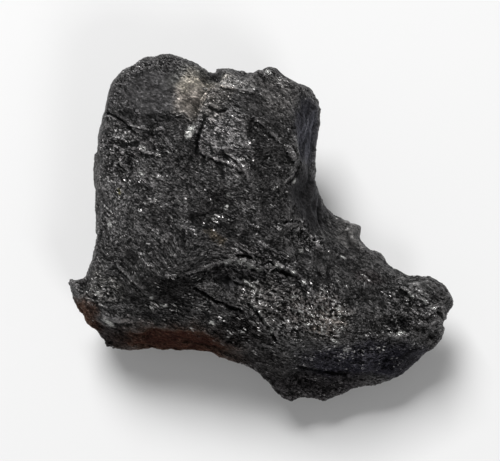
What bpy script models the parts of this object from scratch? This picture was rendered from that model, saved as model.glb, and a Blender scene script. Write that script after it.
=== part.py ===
"""A broken lump of foliated graphite, boot-shaped in plan, lying on its flattest side.

Standalone Blender script: blender --background --python part.py
Plan positions and heights are given in millimetres and built in metres. +Z is up, +X runs
towards the toe, +Y towards the broad end. The origin is the middle of the underside of the
lump's bounding box, so the stone rests on z = 0.

How the stone is made:
1. The outline, crest lines and hollows of the stone are named lines of (x, y, height).
2. Triangles stretched between those lines make a coarse closed cage.
3. The cage becomes an even skin, which is stepped along the cleavage of the mineral,
   chipped and roughened.
4. The skin is reduced to facets, and its lowest stretch is ground to a flat resting face.
"""

import math

import bmesh
import bpy
from mathutils import Vector, noise
from mathutils.geometry import delaunay_2d_cdt

MM = 0.001
STONE = "graphite_specimen"

# ---------------------------------------------------------------- driving dimensions, mm
LENGTH = 55.0  # overall, along X
WIDTH = 48.4  # overall, along Y
SKIN_SIZE = 0.5  # edge length of the even skin before it is reduced
FACETS = 9600  # triangles left before the resting face is ground

# The mineral parts along parallel sheets. This is the direction square to them: the sheets
# dip gently, so their broken edges run down to the right across the top of the stone.
CLEAVAGE_NORMAL = Vector((0.28, 0.49, 0.82)).normalized()

SHEETS = (  # each set of broken sheet edges: step height, sharpness, wander, wander size
    (3.3, 0.35, 3.0, 11.0),
    (1.3, 0.85, 2.0, 6.0),
)
PATCH_SIZE = 5.0  # the sheets show in patches about this wide, and fade out between them
PATCH_CONTRAST = 1.6
LUMP_DEPTH = 0.22
LUMP_SIZE = 6.0
LUMP_DETAIL = (0.8, 2.1, 3)  # how fast finer lumps fade, how much finer each is, how many
CHIP_DEPTH = 0.84
CHIP_SIZE = (6.5, 3.6, 3.0)  # chips are longer along the sheet edges
CHIP_MIXING = 7.3  # large enough that neighbouring chips lean different ways
CHIP_SEED = 3
PIT_DEPTH = 1.0
PIT_SIZE = 3.2
PIT_RARITY = 0.15
PIT_SHIFT = Vector((31.0, 17.0, 5.0))

REST_CUT = 0.35  # how much is ground off the lowest point for the resting face
CALM_HEIGHT = 3.0  # below this the relief dies away towards the resting face
CALM_RELIEF = 0.1  # share of the relief that is left at the resting face
SMOOTH_PATCHES = (  # where the relief is slight: middle x and y, reach in x and y, share kept
    (-14.6, 16.8, 6.6, 5.2, 0.25),  # the plate
    (-4.6, 11.0, 3.4, 4.6, 0.4),  # the block
)
SMOOTH_START = 0.85  # in reaches from a patch's middle: where its relief starts to come back
SMOOTH_FADE = 0.3

# ---------------------------------------------------------------- the form, (x, y, height)
# The widest line round the stone, clockwise from the top left shoulder.
OUTLINE = [
    (-15.5, 21.7, 16.5), (-13.6, 22.1, 17), (-11.4, 21.6, 17), (-8.4, 20.9, 16),
    (-6.4, 18.7, 14), (-5.6, 20.0, 16), (-0.4, 19.2, 16), (0.4, 20.5, 17),
    (3.2, 19.3, 16), (5.6, 18.4, 14), (7.5, 17.8, 13), (9.0, 15.8, 12),
    (9.0, 14.3, 11), (8.2, 12.1, 10), (7.3, 8.9, 9), (8.0, 5.6, 9),
    (10.0, 0.8, 8), (12.6, 0.3, 9), (14.2, -0.9, 9), (14.6, -2.6, 9),
    (16.3, -4.7, 8), (18.8, -6.4, 8), (21.0, -7.3, 8), (23.5, -7.2, 9),
    (26.0, -8.5, 9), (27.7, -10.9, 9), (26.3, -12.6, 9), (26.3, -14.7, 8),
    (25.4, -16.6, 8), (22.9, -19.0, 7), (19.8, -21.5, 7), (14.3, -23.5, 6),
    (9.4, -24.8, 6), (4.9, -24.7, 7), (2.4, -23.5, 7), (-0.1, -21.2, 7),
    (-3.0, -19.5, 7), (-6.3, -18.3, 7), (-10.9, -17.8, 6.5), (-15.3, -17.4, 6),
    (-18.0, -18.0, 6), (-20.4, -17.6, 6), (-22.5, -16.3, 7), (-24.1, -13.9, 8),
    (-26.0, -11.3, 9), (-27.1, -8.7, 11), (-26.2, -8.2, 12), (-24.2, -8.5, 12),
    (-22.8, -5.7, 12), (-22.3, -2.4, 12), (-22.6, 1.9, 12), (-23.0, 6.1, 12),
    (-22.4, 9.4, 13), (-21.8, 13.1, 14), (-21.2, 16.0, 15.5), (-20.3, 18.2, 16),
    (-18.5, 20.1, 16.5), (-17.2, 20.4, 16.5),
]

# Lines on the upper side. A line whose first and last points agree closes on itself.
UPPER_LINES = {
    # The smooth cleavage plate at the top left, and the sill it stands above.
    "plate": [
        (-20.1, 17.0, 18.6), (-16.8, 19.9, 18.4), (-11.9, 21.1, 18.6), (-8.3, 19.4, 19.2),
        (-7.7, 15.8, 20.6), (-9.2, 12.4, 21.4), (-15.7, 12.6, 20.8), (-20.8, 14.6, 19.0),
        (-20.1, 17.0, 18.6),
    ],
    "plate_sill": [
        (-21.3, 13.6, 17.8), (-15.7, 11.8, 20.0), (-9.0, 11.6, 20.6), (-7.1, 16.0, 20.0),
        (-7.1, 18.8, 18.4),
    ],
    # A rough raised block beside the plate, with a sharp edge to its left and below.
    "block": [
        (-6.6, 15.0, 22.4), (-3.1, 15.3, 22.4), (-1.4, 11.7, 23.2), (-1.7, 7.3, 23.4),
        (-5.5, 6.9, 23.6), (-8.2, 9.1, 23.4), (-7.7, 12.5, 23.0), (-6.6, 15.0, 22.4),
    ],
    "block_foot": [
        (-6.9, 15.9, 21.2), (-8.4, 12.4, 21.7), (-8.9, 8.8, 22.2), (-5.7, 6.0, 22.6),
        (-1.5, 6.4, 22.6),
    ],
    "north_rim": [(-4.9, 19.0, 18.8), (-0.8, 18.3, 18.8), (1.2, 19.0, 19.2)],
    "shoulder": [(1.2, 19.0, 19.2), (3.8, 17.7, 18.6), (5.4, 16.4, 18.2)],
    # Where the top turns over into the steep flank on the right.
    "east_crest": [
        (5.4, 16.4, 18.2), (4.1, 14.1, 20), (4.9, 10.0, 20.4), (5.1, 7.1, 20.4),
        (3.8, 4.3, 20), (4.2, 1.5, 19), (5.9, -0.6, 17.6), (8.0, -2.9, 15.6),
    ],
    "east_flank": [
        (7.6, 15.6, 15.5), (7.2, 12.6, 15), (6.5, 8.6, 14.5), (7.0, 4.6, 14),
        (8.4, 1.2, 12.6), (9.6, -1.4, 12.4),
    ],
    "north_east_shelf": [
        (9.7, -6.1, 15.6), (11.9, -3.9, 13), (12.3, -1.0, 11.2),
    ],
    "shelf_edge": [(11.9, -3.9, 13), (15.4, -5.9, 11.8), (19.0, -8.0, 12.4)],
    "west_crest": [
        (-21.3, 12.0, 17.8), (-21.7, 8.2, 18), (-21.9, 3.8, 18), (-21.7, -0.5, 18),
        (-21.7, -4.8, 17.6), (-22.6, -7.5, 16),
    ],
    "main_face_left": [
        (-16.0, 7.7, 21.3), (-16.0, 1.8, 22), (-16.0, -3.9, 21.4), (-19.6, -7.1, 18.6),
    ],
    "main_face_middle": [
        (-10.3, 4.6, 22.6), (-10.3, -1.2, 22.8), (-12.4, -5.0, 22.4),
    ],
    "main_face_right": [
        (-5.3, 3.0, 23), (-1.0, 3.1, 22.4), (0.4, -1.9, 21.9), (3.4, -3.8, 20.8),
    ],
    "dark_pocket": [(-6.6, -1.9, 21.6), (-4.6, -2.2, 21.3), (-2.8, -3.0, 21.6)],
    # The overhanging lip that arches across the middle, and the hollow below it.
    "arch_lip": [
        (-12.9, -9.3, 21.2), (-10.3, -8.1, 22), (-6.7, -6.7, 22.3), (-2.7, -6.4, 22),
        (1.1, -7.2, 21.3), (5.0, -9.0, 20.2), (7.3, -11.1, 19),
    ],
    "arch_hollow": [
        (-10.4, -9.4, 20.6), (-6.6, -8.9, 19.2), (-2.4, -9.3, 18.8), (1.2, -9.6, 18.9),
        (4.4, -11.0, 18.9),
    ],
    "middle_fold": [
        (-5.6, -10.4, 19.6), (-3.0, -11.0, 19.6), (-1.0, -13.6, 18.6), (1.1, -15.8, 17.2),
    ],
    "fold_crack": [(-9.3, -10.8, 18.8), (-6.2, -12.1, 18.0), (-3.0, -13.7, 17.2)],
    "lower_ledge": [
        (-22.0, -9.6, 15.8), (-17.4, -11.4, 16.6), (-13.9, -12.0, 17.2), (-9.8, -12.6, 17.6),
    ],
    "heel_top": [
        (-25.4, -9.3, 13.8), (-23.8, -11.4, 14.2), (-21.6, -13.0, 14.2),
    ],
    # The edge above the steep lower flank.
    "south_crest": [
        (-23.4, -13.0, 13.2), (-19.6, -14.6, 14.4), (-14.6, -15.0, 15.0), (-8.9, -15.8, 15.0),
        (-4.3, -17.0, 14.6), (0.0, -18.6, 13.6), (3.3, -20.7, 11.6),
    ],
    "toe_spine": [
        (5.4, -12.4, 18.9), (9.0, -13.2, 17.8), (12.6, -13.8, 16.3), (16.9, -13.4, 14.9),
        (21.1, -13.4, 13.6), (25.0, -13.8, 12.0),
    ],
    "toe_back": [
        (10.4, -9.8, 16.8), (14.7, -9.9, 14.9), (19.0, -9.4, 13.1), (23.3, -9.0, 12.2),
        (26.0, -11.0, 11.4),
    ],
    "toe_brow": [
        (1.1, -15.8, 17.2), (5.4, -17.0, 16.8), (10.4, -17.3, 15.6), (16.1, -16.8, 13.9),
        (21.9, -16.4, 12.0),
    ],
    "low_ledge": [
        (5.1, -20.3, 10.6), (10.4, -20.8, 9.6), (15.4, -20.4, 9.6), (19.4, -18.8, 9.2),
    ],
    "low_ledge_foot": [(5.4, -21.1, 9.0), (10.4, -21.6, 8.2), (15.4, -21.1, 8.2)],
}

# Lines on the underside: the face the stone rests on, and the ribs around it.
LOWER_LINES = {
    "rest_face": [
        (-17.0, 9.0, 0.2), (-10.0, 13.5, 0.3), (-3.0, 11.5, 0.0), (1.0, 4.0, 0.2),
        (8.0, -6.0, 0.0), (14.0, -11.5, 0.3), (12.0, -16.0, 0.2), (3.0, -17.5, 0.0),
        (-8.0, -12.5, 0.2), (-17.0, -9.5, 0.0), (-19.5, -1.0, 0.3), (-17.0, 9.0, 0.2),
    ],
    "north_rib": [(-12.0, 18.5, 6.0), (-4.0, 16.5, 5.0)],
    "west_rib": [(-21.5, 12.0, 6.5), (-21.9, 2.0, 4.5), (-22.2, -9.5, 4.0)],
    "toe_rib": [(19.0, -10.0, 3.6), (22.6, -13.6, 3.4), (18.5, -17.6, 2.6)],
    "south_rib": [(-1.5, -17.6, 3.2), (6.0, -21.4, 2.6)],
    "east_rib": [(5.0, 10.0, 4.6), (8.6, 0.0, 3.4)],
}


# ---------------------------------------------------------------- cage
def cage_side(lines, ring_count, points):
    """Triangles that fill the outline and follow the given lines; new points join points."""
    seen = {}
    edges = []
    for line in lines.values():
        indices = []
        for point in line:
            if point not in seen:
                seen[point] = len(points)
                points.append(point)
            indices.append(seen[point])
        edges += list(zip(indices, indices[1:]))
    used = list(range(ring_count)) + list(seen.values())
    local = {index: place for place, index in enumerate(used)}
    ring = [(i, (i + 1) % ring_count) for i in range(ring_count)]
    inner = [(local[a], local[b]) for a, b in edges]
    flat = [Vector(points[index][:2]) for index in used]
    found = delaunay_2d_cdt(flat, ring + inner, [list(range(ring_count))], 1, 1e-6)
    triangles, sources = found[2], found[3]
    return [[used[sources[corner][0]] for corner in triangle] for triangle in triangles]


def make_cage():
    """The closed coarse form: an upper and a lower side that share the outline."""
    points = list(OUTLINE)
    ring_count = len(points)
    upper = cage_side(UPPER_LINES, ring_count, points)
    lower = cage_side(LOWER_LINES, ring_count, points)
    shape = bmesh.new()
    corners = [shape.verts.new(Vector(point) * MM) for point in points]
    for triangle in upper:
        shape.faces.new([corners[index] for index in triangle])
    for triangle in lower:
        shape.faces.new([corners[index] for index in reversed(triangle)])
    bmesh.ops.recalc_face_normals(shape, faces=shape.faces[:])
    mesh = bpy.data.meshes.new(STONE)
    shape.to_mesh(mesh)
    shape.free()
    stone = bpy.data.objects.new(STONE, mesh)
    bpy.context.scene.collection.objects.link(stone)
    return stone


def bake_modifiers(stone):
    """Replaces the stone's mesh by what its modifiers make of it."""
    graph = bpy.context.evaluated_depsgraph_get()
    mesh = bpy.data.meshes.new_from_object(stone.evaluated_get(graph))
    stone.modifiers.clear()
    stone.data = mesh


def even_skin(stone):
    """An even skin over the cage, fine enough to be stepped and chipped."""
    remesh = stone.modifiers.new("even_skin", "REMESH")
    remesh.mode = "VOXEL"
    remesh.voxel_size = SKIN_SIZE * MM
    bake_modifiers(stone)


# ---------------------------------------------------------------- relief, all in mm
def ramp(value):
    """From 0 to 1 with soft ends as the value goes from 0 to 1."""
    part = min(1.0, max(0.0, value))
    return part * part * (3 - 2 * part)


def sheet_steps(point):
    """How far a point moves along the cleavage normal, so that slopes break into steps."""
    moved = 0.0
    for height, sharpness, wander, wander_size in SHEETS:
        stray = wander * noise.noise(point / wander_size + Vector((0, 0, height)))
        along = (point.dot(CLEAVAGE_NORMAL) + moved + stray) / height
        part = along - math.floor(along)
        eased = part**3 / (part**3 + (1 - part) ** 3)
        patch = noise.noise(point / PATCH_SIZE + Vector((height, 0, 9)))
        patchy = ramp(0.5 + PATCH_CONTRAST * patch)
        moved += sharpness * patchy * (eased - part) * height
    return moved


def cleavage_axes():
    """Along the sheet edges, across them, and square to the sheets."""
    along = CLEAVAGE_NORMAL.cross(Vector((0, 0, 1))).normalized()
    return along, CLEAVAGE_NORMAL.cross(along), CLEAVAGE_NORMAL


CLEAVAGE_AXES = cleavage_axes()


def chips(point):
    """Small flat facets: each cell of the broken surface leans its own way."""
    place = Vector([axis.dot(point) / size for axis, size in zip(CLEAVAGE_AXES, CHIP_SIZE)])
    centre = noise.voronoi(place)[1][0]
    lean = noise.noise_vector(centre * CHIP_MIXING)
    return CHIP_DEPTH * lean.dot(place - centre)


def pits(point):
    """Shallow hollows where scales have dropped out."""
    depth = noise.noise(point / PIT_SIZE + PIT_SHIFT)
    return -PIT_DEPTH * max(0.0, depth - PIT_RARITY)


def lumps(point):
    return LUMP_DEPTH * noise.fractal(point / LUMP_SIZE, *LUMP_DETAIL)


def relief_share(point):
    """How much of the relief is kept: little by the resting face and on smooth patches."""
    share = CALM_RELIEF + (1 - CALM_RELIEF) * ramp(point.z / CALM_HEIGHT)
    for x, y, reach_x, reach_y, kept in SMOOTH_PATCHES:
        boxy = abs((point.x - x) / reach_x) ** 4 + abs((point.y - y) / reach_y) ** 4
        share *= kept + (1 - kept) * ramp((boxy**0.25 - SMOOTH_START) / SMOOTH_FADE)
    return share


def roughen(stone):
    """Steps, chips, pits and lumps in the skin."""
    mesh = stone.data
    normals = [vertex.normal.copy() for vertex in mesh.vertices]
    for vertex, normal in zip(mesh.vertices, normals):
        point = vertex.co / MM
        outward = lumps(point) + chips(point) + pits(point)
        relief = normal * outward + CLEAVAGE_NORMAL * sheet_steps(point)
        vertex.co = (point + relief * relief_share(point)) * MM


# ---------------------------------------------------------------- finish
def grind_rest_face(stone):
    """Cuts the lowest stretch off flat, and closes the cut."""
    shape = bmesh.new()
    shape.from_mesh(stone.data)
    lowest = min(vertex.co.z for vertex in shape.verts)
    level = Vector((0, 0, lowest + REST_CUT * MM))
    bmesh.ops.bisect_plane(
        shape,
        geom=shape.verts[:] + shape.edges[:] + shape.faces[:],
        dist=1e-7,
        plane_co=level,
        plane_no=(0, 0, 1),
        clear_inner=True,
    )
    open_edges = [edge for edge in shape.edges if edge.is_boundary]
    bmesh.ops.triangle_fill(shape, use_beauty=True, edges=open_edges)
    bmesh.ops.triangulate(shape, faces=shape.faces[:])
    bmesh.ops.recalc_face_normals(shape, faces=shape.faces[:])
    shape.to_mesh(stone.data)
    shape.free()


def reduce_to_facets(stone):
    """Fewer, larger triangles where the skin is flat."""
    stone.data.calc_loop_triangles()
    decimate = stone.modifiers.new("facets", "DECIMATE")
    decimate.decimate_type = "COLLAPSE"
    decimate.use_collapse_triangulate = True
    decimate.ratio = FACETS / len(stone.data.loop_triangles)
    bake_modifiers(stone)


def set_to_size(stone):
    """Brings the stone to its overall size, resting on z = 0 about the origin."""
    places = [vertex.co for vertex in stone.data.vertices]
    low = Vector([min(place[axis] for place in places) for axis in range(3)])
    high = Vector([max(place[axis] for place in places) for axis in range(3)])
    middle = Vector(((low.x + high.x) / 2, (low.y + high.y) / 2, low.z))
    across = LENGTH * MM / (high.x - low.x)
    along = WIDTH * MM / (high.y - low.y)
    for vertex in stone.data.vertices:
        place = vertex.co - middle
        vertex.co = Vector((place.x * across, place.y * along, place.z))


def graphite():
    """Dark grey, half metallic, and neither matt nor polished."""
    material = bpy.data.materials.new("graphite")
    material.use_nodes = True
    shader = material.node_tree.nodes["Principled BSDF"]
    shader.inputs["Base Color"].default_value = (0.045, 0.046, 0.05, 1)
    shader.inputs["Metallic"].default_value = 0.6
    shader.inputs["Roughness"].default_value = 0.5
    return material


def main():
    noise.seed_set(CHIP_SEED)
    for leftover in list(bpy.data.objects):
        bpy.data.objects.remove(leftover, do_unlink=True)
    stone = make_cage()
    even_skin(stone)
    roughen(stone)
    reduce_to_facets(stone)
    grind_rest_face(stone)
    set_to_size(stone)
    stone.data.materials.append(graphite())
    print(f"{STONE}: {len(stone.data.polygons)} faces")


main()
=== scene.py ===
# %% [markdown]
# # A graphite specimen
# A lump of natural graphite is a pile of very thin sheets, pressed together and then broken
# across. Its look comes from two things: the broken edges of the sheets, which run in short
# ledges all over it, and the scales between them, which mirror the light when they happen to
# lean the right way. So this lesson first gives a coarse solid its ledges and scales as real
# shape, and then a finish that handles what is smaller than the mesh can hold.

# %% Load the solid
import math

import bpy
import numpy as np
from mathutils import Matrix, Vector, noise


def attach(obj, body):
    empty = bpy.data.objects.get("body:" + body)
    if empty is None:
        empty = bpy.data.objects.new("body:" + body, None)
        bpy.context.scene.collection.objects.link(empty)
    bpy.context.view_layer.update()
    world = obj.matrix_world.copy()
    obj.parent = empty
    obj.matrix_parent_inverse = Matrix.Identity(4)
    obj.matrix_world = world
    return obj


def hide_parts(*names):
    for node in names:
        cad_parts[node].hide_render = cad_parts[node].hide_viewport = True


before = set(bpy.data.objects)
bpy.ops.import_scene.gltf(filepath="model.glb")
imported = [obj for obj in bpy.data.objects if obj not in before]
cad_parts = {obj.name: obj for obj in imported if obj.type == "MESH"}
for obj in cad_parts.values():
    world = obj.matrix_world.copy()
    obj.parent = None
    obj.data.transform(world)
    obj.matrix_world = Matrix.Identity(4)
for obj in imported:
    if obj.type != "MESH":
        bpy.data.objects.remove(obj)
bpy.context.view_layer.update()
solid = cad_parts["graphite_specimen"]
MM = 0.001

# %% [markdown]
# ## The view
# The stone is seen from almost straight above, a little from its near side, as one looks at
# a thing held in the hand. A long lens keeps its outline free of distortion.

# %% Camera
VIEW_HEIGHT = math.radians(80)
VIEW_DISTANCE = 0.1984
VIEW_CENTRE = Vector((-0.0017, 0.0, 0.010))

towards_camera = Vector((0, -math.cos(VIEW_HEIGHT), math.sin(VIEW_HEIGHT)))
bpy.ops.object.camera_add(location=VIEW_CENTRE + towards_camera * VIEW_DISTANCE)
camera = bpy.context.object
camera.name = "camera"
camera.rotation_euler = (-towards_camera).to_track_quat("-Z", "Y").to_euler()
camera.data.lens = 100
camera.data.clip_start = 0.01
bpy.context.scene.camera = camera
print("camera at", [round(value, 4) for value in camera.location])

# %% [markdown]
# ## The studio
# Graphite is dark and half metallic, so what it mirrors matters more than its own colour.
# A big soft lamp from the far side rakes across the ledges and leaves the near flank dark.
# A small weak one on the near side only lifts that flank a little. The surroundings are kept
# dim, so that a scale that catches a lamp stands out. The floor is plain, pale and dull.

# %% Floor
bpy.ops.mesh.primitive_plane_add(size=4.0, location=(0, 0, 0))
floor = bpy.context.object
floor.name = "floor"

floor_paint = bpy.data.materials.new("floor_paint")
floor_paint.use_nodes = True
floor_shader = floor_paint.node_tree.nodes["Principled BSDF"]
floor_shader.inputs["Base Color"].default_value = (0.72, 0.72, 0.72, 1)
floor_shader.inputs["Roughness"].default_value = 0.9
floor_shader.inputs["Specular IOR Level"].default_value = 0.1
floor.data.materials.append(floor_paint)
print("floor:", [round(side, 1) for side in floor.dimensions], "m")


# %% Lamps and surroundings
def soft_lamp(name, place, size, power):
    """A square lamp at a place in metres, turned towards the stone."""
    bpy.ops.object.light_add(type="AREA", location=place)
    lamp = bpy.context.object
    lamp.name = name
    lamp.data.size = size
    lamp.data.energy = power
    lamp.rotation_euler = (-Vector(place)).to_track_quat("-Z", "Y").to_euler()


soft_lamp("far_lamp", place=(-0.25, 0.62, 0.80), size=0.45, power=13.5)
soft_lamp("near_lamp", place=(0.30, -0.50, 0.60), size=0.25, power=1.6)

surroundings = bpy.data.worlds.new("studio")
surroundings.use_nodes = True
background = surroundings.node_tree.nodes["Background"]
background.inputs["Color"].default_value = (1, 1, 1, 1)
background.inputs["Strength"].default_value = 0.22
bpy.context.scene.world = surroundings
bpy.context.scene.view_settings.view_transform = "Standard"

# %% [markdown]
# ## The stone's skin
# The solid has the right outline and the right big forms, but its triangles are about a
# millimetre wide, as large as the larger scales. A sculptor would now subdivide it. A voxel
# remesh does the same more evenly: it lays a fresh skin of small equal faces over the solid,
# ready to be shaped. The skin is made on a copy, because the solid has to stay as it is.

# %% Copy the solid and lay the skin
SKIN_SIZE = 0.16 * MM


def apply_modifier(piece, kind, **settings):
    """Adds one modifier with its settings, and applies it."""
    modifier = piece.modifiers.new(kind.lower(), kind)
    for name, value in settings.items():
        setattr(modifier, name, value)
    bpy.ops.object.modifier_apply(modifier=modifier.name)


bpy.ops.object.select_all(action="DESELECT")
solid.select_set(True)
bpy.context.view_layer.objects.active = solid
bpy.ops.object.duplicate(linked=False)
stone = bpy.context.object
stone.name = "graphite_stone"

bpy.ops.object.mode_set(mode="EDIT")
bpy.ops.mesh.select_all(action="SELECT")
bpy.ops.mesh.remove_doubles(threshold=0.000001)
bpy.ops.object.mode_set(mode="OBJECT")
apply_modifier(stone, "REMESH", mode="VOXEL", voxel_size=SKIN_SIZE)
apply_modifier(stone, "SMOOTH", factor=0.5, iterations=6)
print("skin:", len(stone.data.polygons), "faces")

# %% [markdown]
# A skin of this size has some 280,000 points. Asking Blender for them one by one is slow, so
# two small helpers read them all at once into a table, and write them back. Inside the table
# lengths are in mm, which suits a stone, while Blender itself keeps metres. A third helper, a
# ramp with soft ends, is what every patch on the stone will fade with.


# %% Read and write the skin
def read_skin(piece, what):
    """The places in mm, or the normals, of all points of a mesh, as rows of three."""
    values = np.empty(len(piece.data.vertices) * 3, np.float32)
    piece.data.vertices.foreach_get(what, values)
    values = values.reshape(-1, 3).astype(float)
    return values / MM if what == "co" else values


def write_skin(piece, places):
    """Puts the points of a mesh at places in mm."""
    piece.data.vertices.foreach_set("co", (places * MM).astype(np.float32).ravel())
    piece.data.update()


def ramp(value):
    """From 0 to 1 with soft ends as the value goes from 0 to 1."""
    part = np.clip(value, 0, 1)
    return part * part * (3 - 2 * part)


print("points:", len(read_skin(stone, "co")))

# %% [markdown]
# ## Corners and bays
# A stone's outline is what the eye checks first. Smoothing has rounded the corners of the
# solid, so they are pulled out again, and the bays pushed in, as with a sculptor's grab
# brush: a middle point, a reach, and a pull that fades towards the edge of the reach.

# %% Pull the corners
# Middle of the pull in mm, its reach in x, y and z, and how far it pulls.
PULLS = (
    ((8.2, 11.2, 11.0), (3.2, 5.0, 10.0), (0.95, 0.0, 0.0)),  # right flank
    ((10.4, 2.2, 9.0), (2.6, 3.6, 9.0), (1.2, 0.35, 0.0)),  # neck
    ((13.8, 0.4, 10.0), (1.6, 1.6, 6.0), (0.6, 0.5, 0.0)),  # corner of the shelf
    ((16.6, -3.8, 8.0), (2.2, 2.0, 7.0), (0.5, 0.7, 0.0)),  # below the shelf
    ((5.2, 19.2, 14.0), (2.8, 2.2, 8.0), (0.4, 0.6, 0.0)),  # right shoulder
    ((1.6, 21.2, 17.0), (1.7, 1.6, 5.0), (0.0, 0.6, 0.1)),  # corner on the far edge
    ((-0.1, 20.8, 18.0), (0.7, 1.3, 4.0), (0.0, -0.4, 0.0)),  # step beside that corner
    ((-7.6, 20.8, 18.0), (2.2, 1.8, 5.0), (0.35, 0.6, 0.0)),  # left of the notch
    ((-4.6, 20.6, 18.4), (1.4, 1.2, 4.0), (-0.2, 0.4, 0.2)),  # right of the notch
    ((-6.1, 20.2, 18.0), (0.9, 1.7, 4.5), (0.0, -1.1, 0.0)),  # the notch itself
    ((-25.2, -12.6, 9.0), (2.2, 2.8, 7.0), (-0.8, -0.2, 0.0)),  # heel
    ((-25.2, -8.2, 12.0), (1.6, 1.4, 6.0), (0.0, 0.6, 0.0)),  # top of the heel
    ((27.0, -11.0, 8.0), (1.0, 1.3, 4.0), (0.5, 0.0, 0.0)),  # tip of the toe
    ((26.2, -13.2, 8.0), (0.9, 0.8, 5.0), (-0.7, 0.0, 0.0)),  # notch under the tip
    ((-20.2, 13.9, 18.2), (2.6, 2.4, 3.5), (0.0, 0.0, 0.5)),  # trough below the plate, filled up
    ((-17.0, 13.0, 19.6), (2.8, 2.4, 3.5), (0.0, 0.0, 1.0)),  # its middle
    ((-13.8, 12.7, 20.2), (3.0, 2.2, 3.5), (0.0, 0.0, 0.9)),
    ((-10.8, 13.3, 20.4), (2.2, 2.2, 3.5), (0.0, 0.0, 0.7)),  # its right end
    ((-14.5, 11.4, 20.5), (5.0, 2.8, 3.5), (0.0, 0.0, 0.4)),  # its near side
    ((-9.0, 17.2, 20.4), (2.4, 2.8, 3.5), (0.0, 0.0, 0.9)),  # step beside the smear of clay
    ((-17.4, 21.2, 16.0), (1.5, 1.6, 6.0), (0.3, -1.0, 0.0)),  # nick in the plate's far edge
)


def closeness(places, middle, reach, core=0.0):
    """For each point, 1 inside the core and 0 beyond the reach. The core is a share of the reach."""
    away = np.linalg.norm((places - middle) / reach, axis=1)
    return 1 - ramp((away - core) / (1 - core))


def pull_corners(places):
    """The places after all pulls."""
    pulled = places.copy()
    for middle, reach, pull in PULLS:
        pulled += closeness(places, middle, reach)[:, None] * np.array(pull)
    return pulled


write_skin(stone, pull_corners(read_skin(stone, "co")))
print(len(PULLS), "pulls done")

# %% [markdown]
# ## Rules for the relief
# Pulling tens of thousands of scales by hand would take weeks, and a displacement picture
# would look the same everywhere. Instead every point of the skin is moved by a few rules.
# Each rule says how far a point moves. The noise behind the rules is seeded, so the stone
# comes out the same each time.

# %% Directions of the sheets
noise.seed_set(5)
SHEET_NORMAL = Vector((0.28, 0.49, 0.82)).normalized()
ALONG_EDGES = SHEET_NORMAL.cross(Vector((0, 0, 1))).normalized()
ACROSS_EDGES = SHEET_NORMAL.cross(ALONG_EDGES)
print("sheet edges run along", [round(value, 2) for value in ALONG_EDGES])


def noise_at(points, size, shift):
    """Soft noise from -1 to 1 at each point, in lumps of a size in mm. Each shift gives another."""
    offset = Vector((shift, 0.4 * shift, -shift))
    return np.array([noise.noise(point / size + offset) for point in points])


# %% [markdown]
# The sheets aren't flat all through the stone: it has been squeezed, and they bend round the
# arch and along the toe. Each point therefore gets a second set of coordinates, measured
# along the sheets instead of in the room. They are turned round a few centres, like a patch
# of cloth that is twisted between two fingers. All later patterns are laid out in them.

# %% Sheet coordinates
TURNS = (  # middle and reach in mm, and by how many degrees the edges turn to the left there
    ((-8.0, -7.0, 20.0), (7.0, 6.0, 9.0), 35.0),  # left end of the arch
    ((6.5, -12.0, 17.0), (8.0, 6.5, 9.0), -22.0),  # crumpled place
    ((17.0, -20.5, 9.0), (9.5, 5.0, 8.0), 18.0),  # near face of the toe
    ((-17.0, 7.0, 20.0), (7.0, 8.0, 9.0), -10.0),  # left face
    ((-18.5, -8.0, 17.5), (4.0, 5.0, 8.0), -25.0),  # left end of the bay
)


def sheet_places(places):
    """Each point's place along the edges, across them, and square to the sheets, in mm."""
    bent = places.copy()
    for middle, reach, degrees in TURNS:
        angle = -math.radians(degrees) * closeness(places, middle, reach, 0.2)
        across, up = (bent[:, :2] - middle[:2]).T
        bent[:, 0] = middle[0] + np.cos(angle) * across - np.sin(angle) * up
        bent[:, 1] = middle[1] + np.sin(angle) * across + np.cos(angle) * up
    return bent @ np.array((ALONG_EDGES, ACROSS_EDGES, SHEET_NORMAL)).T


print("the edges turn at", len(TURNS), "places")

# %% [markdown]
# The stone isn't equally rough all over. It has a smooth plate at its top left corner, where
# it parted along a single sheet, a smooth flank on the right, and very rough places where the
# sheets are crumpled. A list of soft patches says how rough each place is, and a second one
# how crumpled. Noise frays the patches, because a smooth oval on a stone looks painted on.

# %% How rough each place is
COMMON_ROUGHNESS = 1.0
ROUGHNESS_PATCHES = (  # middle and reach in mm, and the roughness inside the patch
    ((-14.6, 17.0, 19.0), (8.0, 6.0, 3.5), 0.25),  # the smooth plate
    ((6.0, 13.0, 14.5), (4.4, 6.0, 7.5), 0.25),  # the smooth right flank
    ((6.7, 3.6, 14.8), (4.6, 6.4, 7.5), 0.25),  # below it, the neck
    ((-4.8, 11.0, 22.5), (4.2, 5.0, 4.0), 1.0),  # the raised block
    ((8.5, -13.0, 17.5), (6.5, 4.5, 4.0), 1.3),  # the crumpled, glittering place
    ((23.0, -12.0, 11.0), (4.0, 4.0, 4.0), 1.2),  # the tip of the toe
    ((-3.5, -8.2, 19.0), (3.4, 1.2, 3.0), 0.15),  # the hollow under the lip
    ((12.0, -20.0, 10.0), (10.0, 3.0, 6.0), 0.7),  # the near face of the toe
    ((20.5, -19.0, 7.0), (5.0, 4.0, 5.0), 0.45),  # its smooth foot
    ((-1.5, -6.5, 20.5), (5.0, 0.9, 2.5), 1.2),  # the lip above it
    ((-10.2, 16.5, 20.5), (2.6, 4.2, 2.5), 0.25),  # the smear of clay
    ((12.2, -0.9, 11.0), (3.4, 3.2, 4.5), 0.45),  # the shelf
    ((21.6, -8.0, 12.2), (3.0, 1.3, 2.5), 0.3),  # the smooth top of the toe
    ((-12.5, -15.8, 9.5), (13.0, 4.2, 7.5), 0.75),  # the rusty near flank
)
COMMON_CRUMPLE = 0.15
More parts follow.
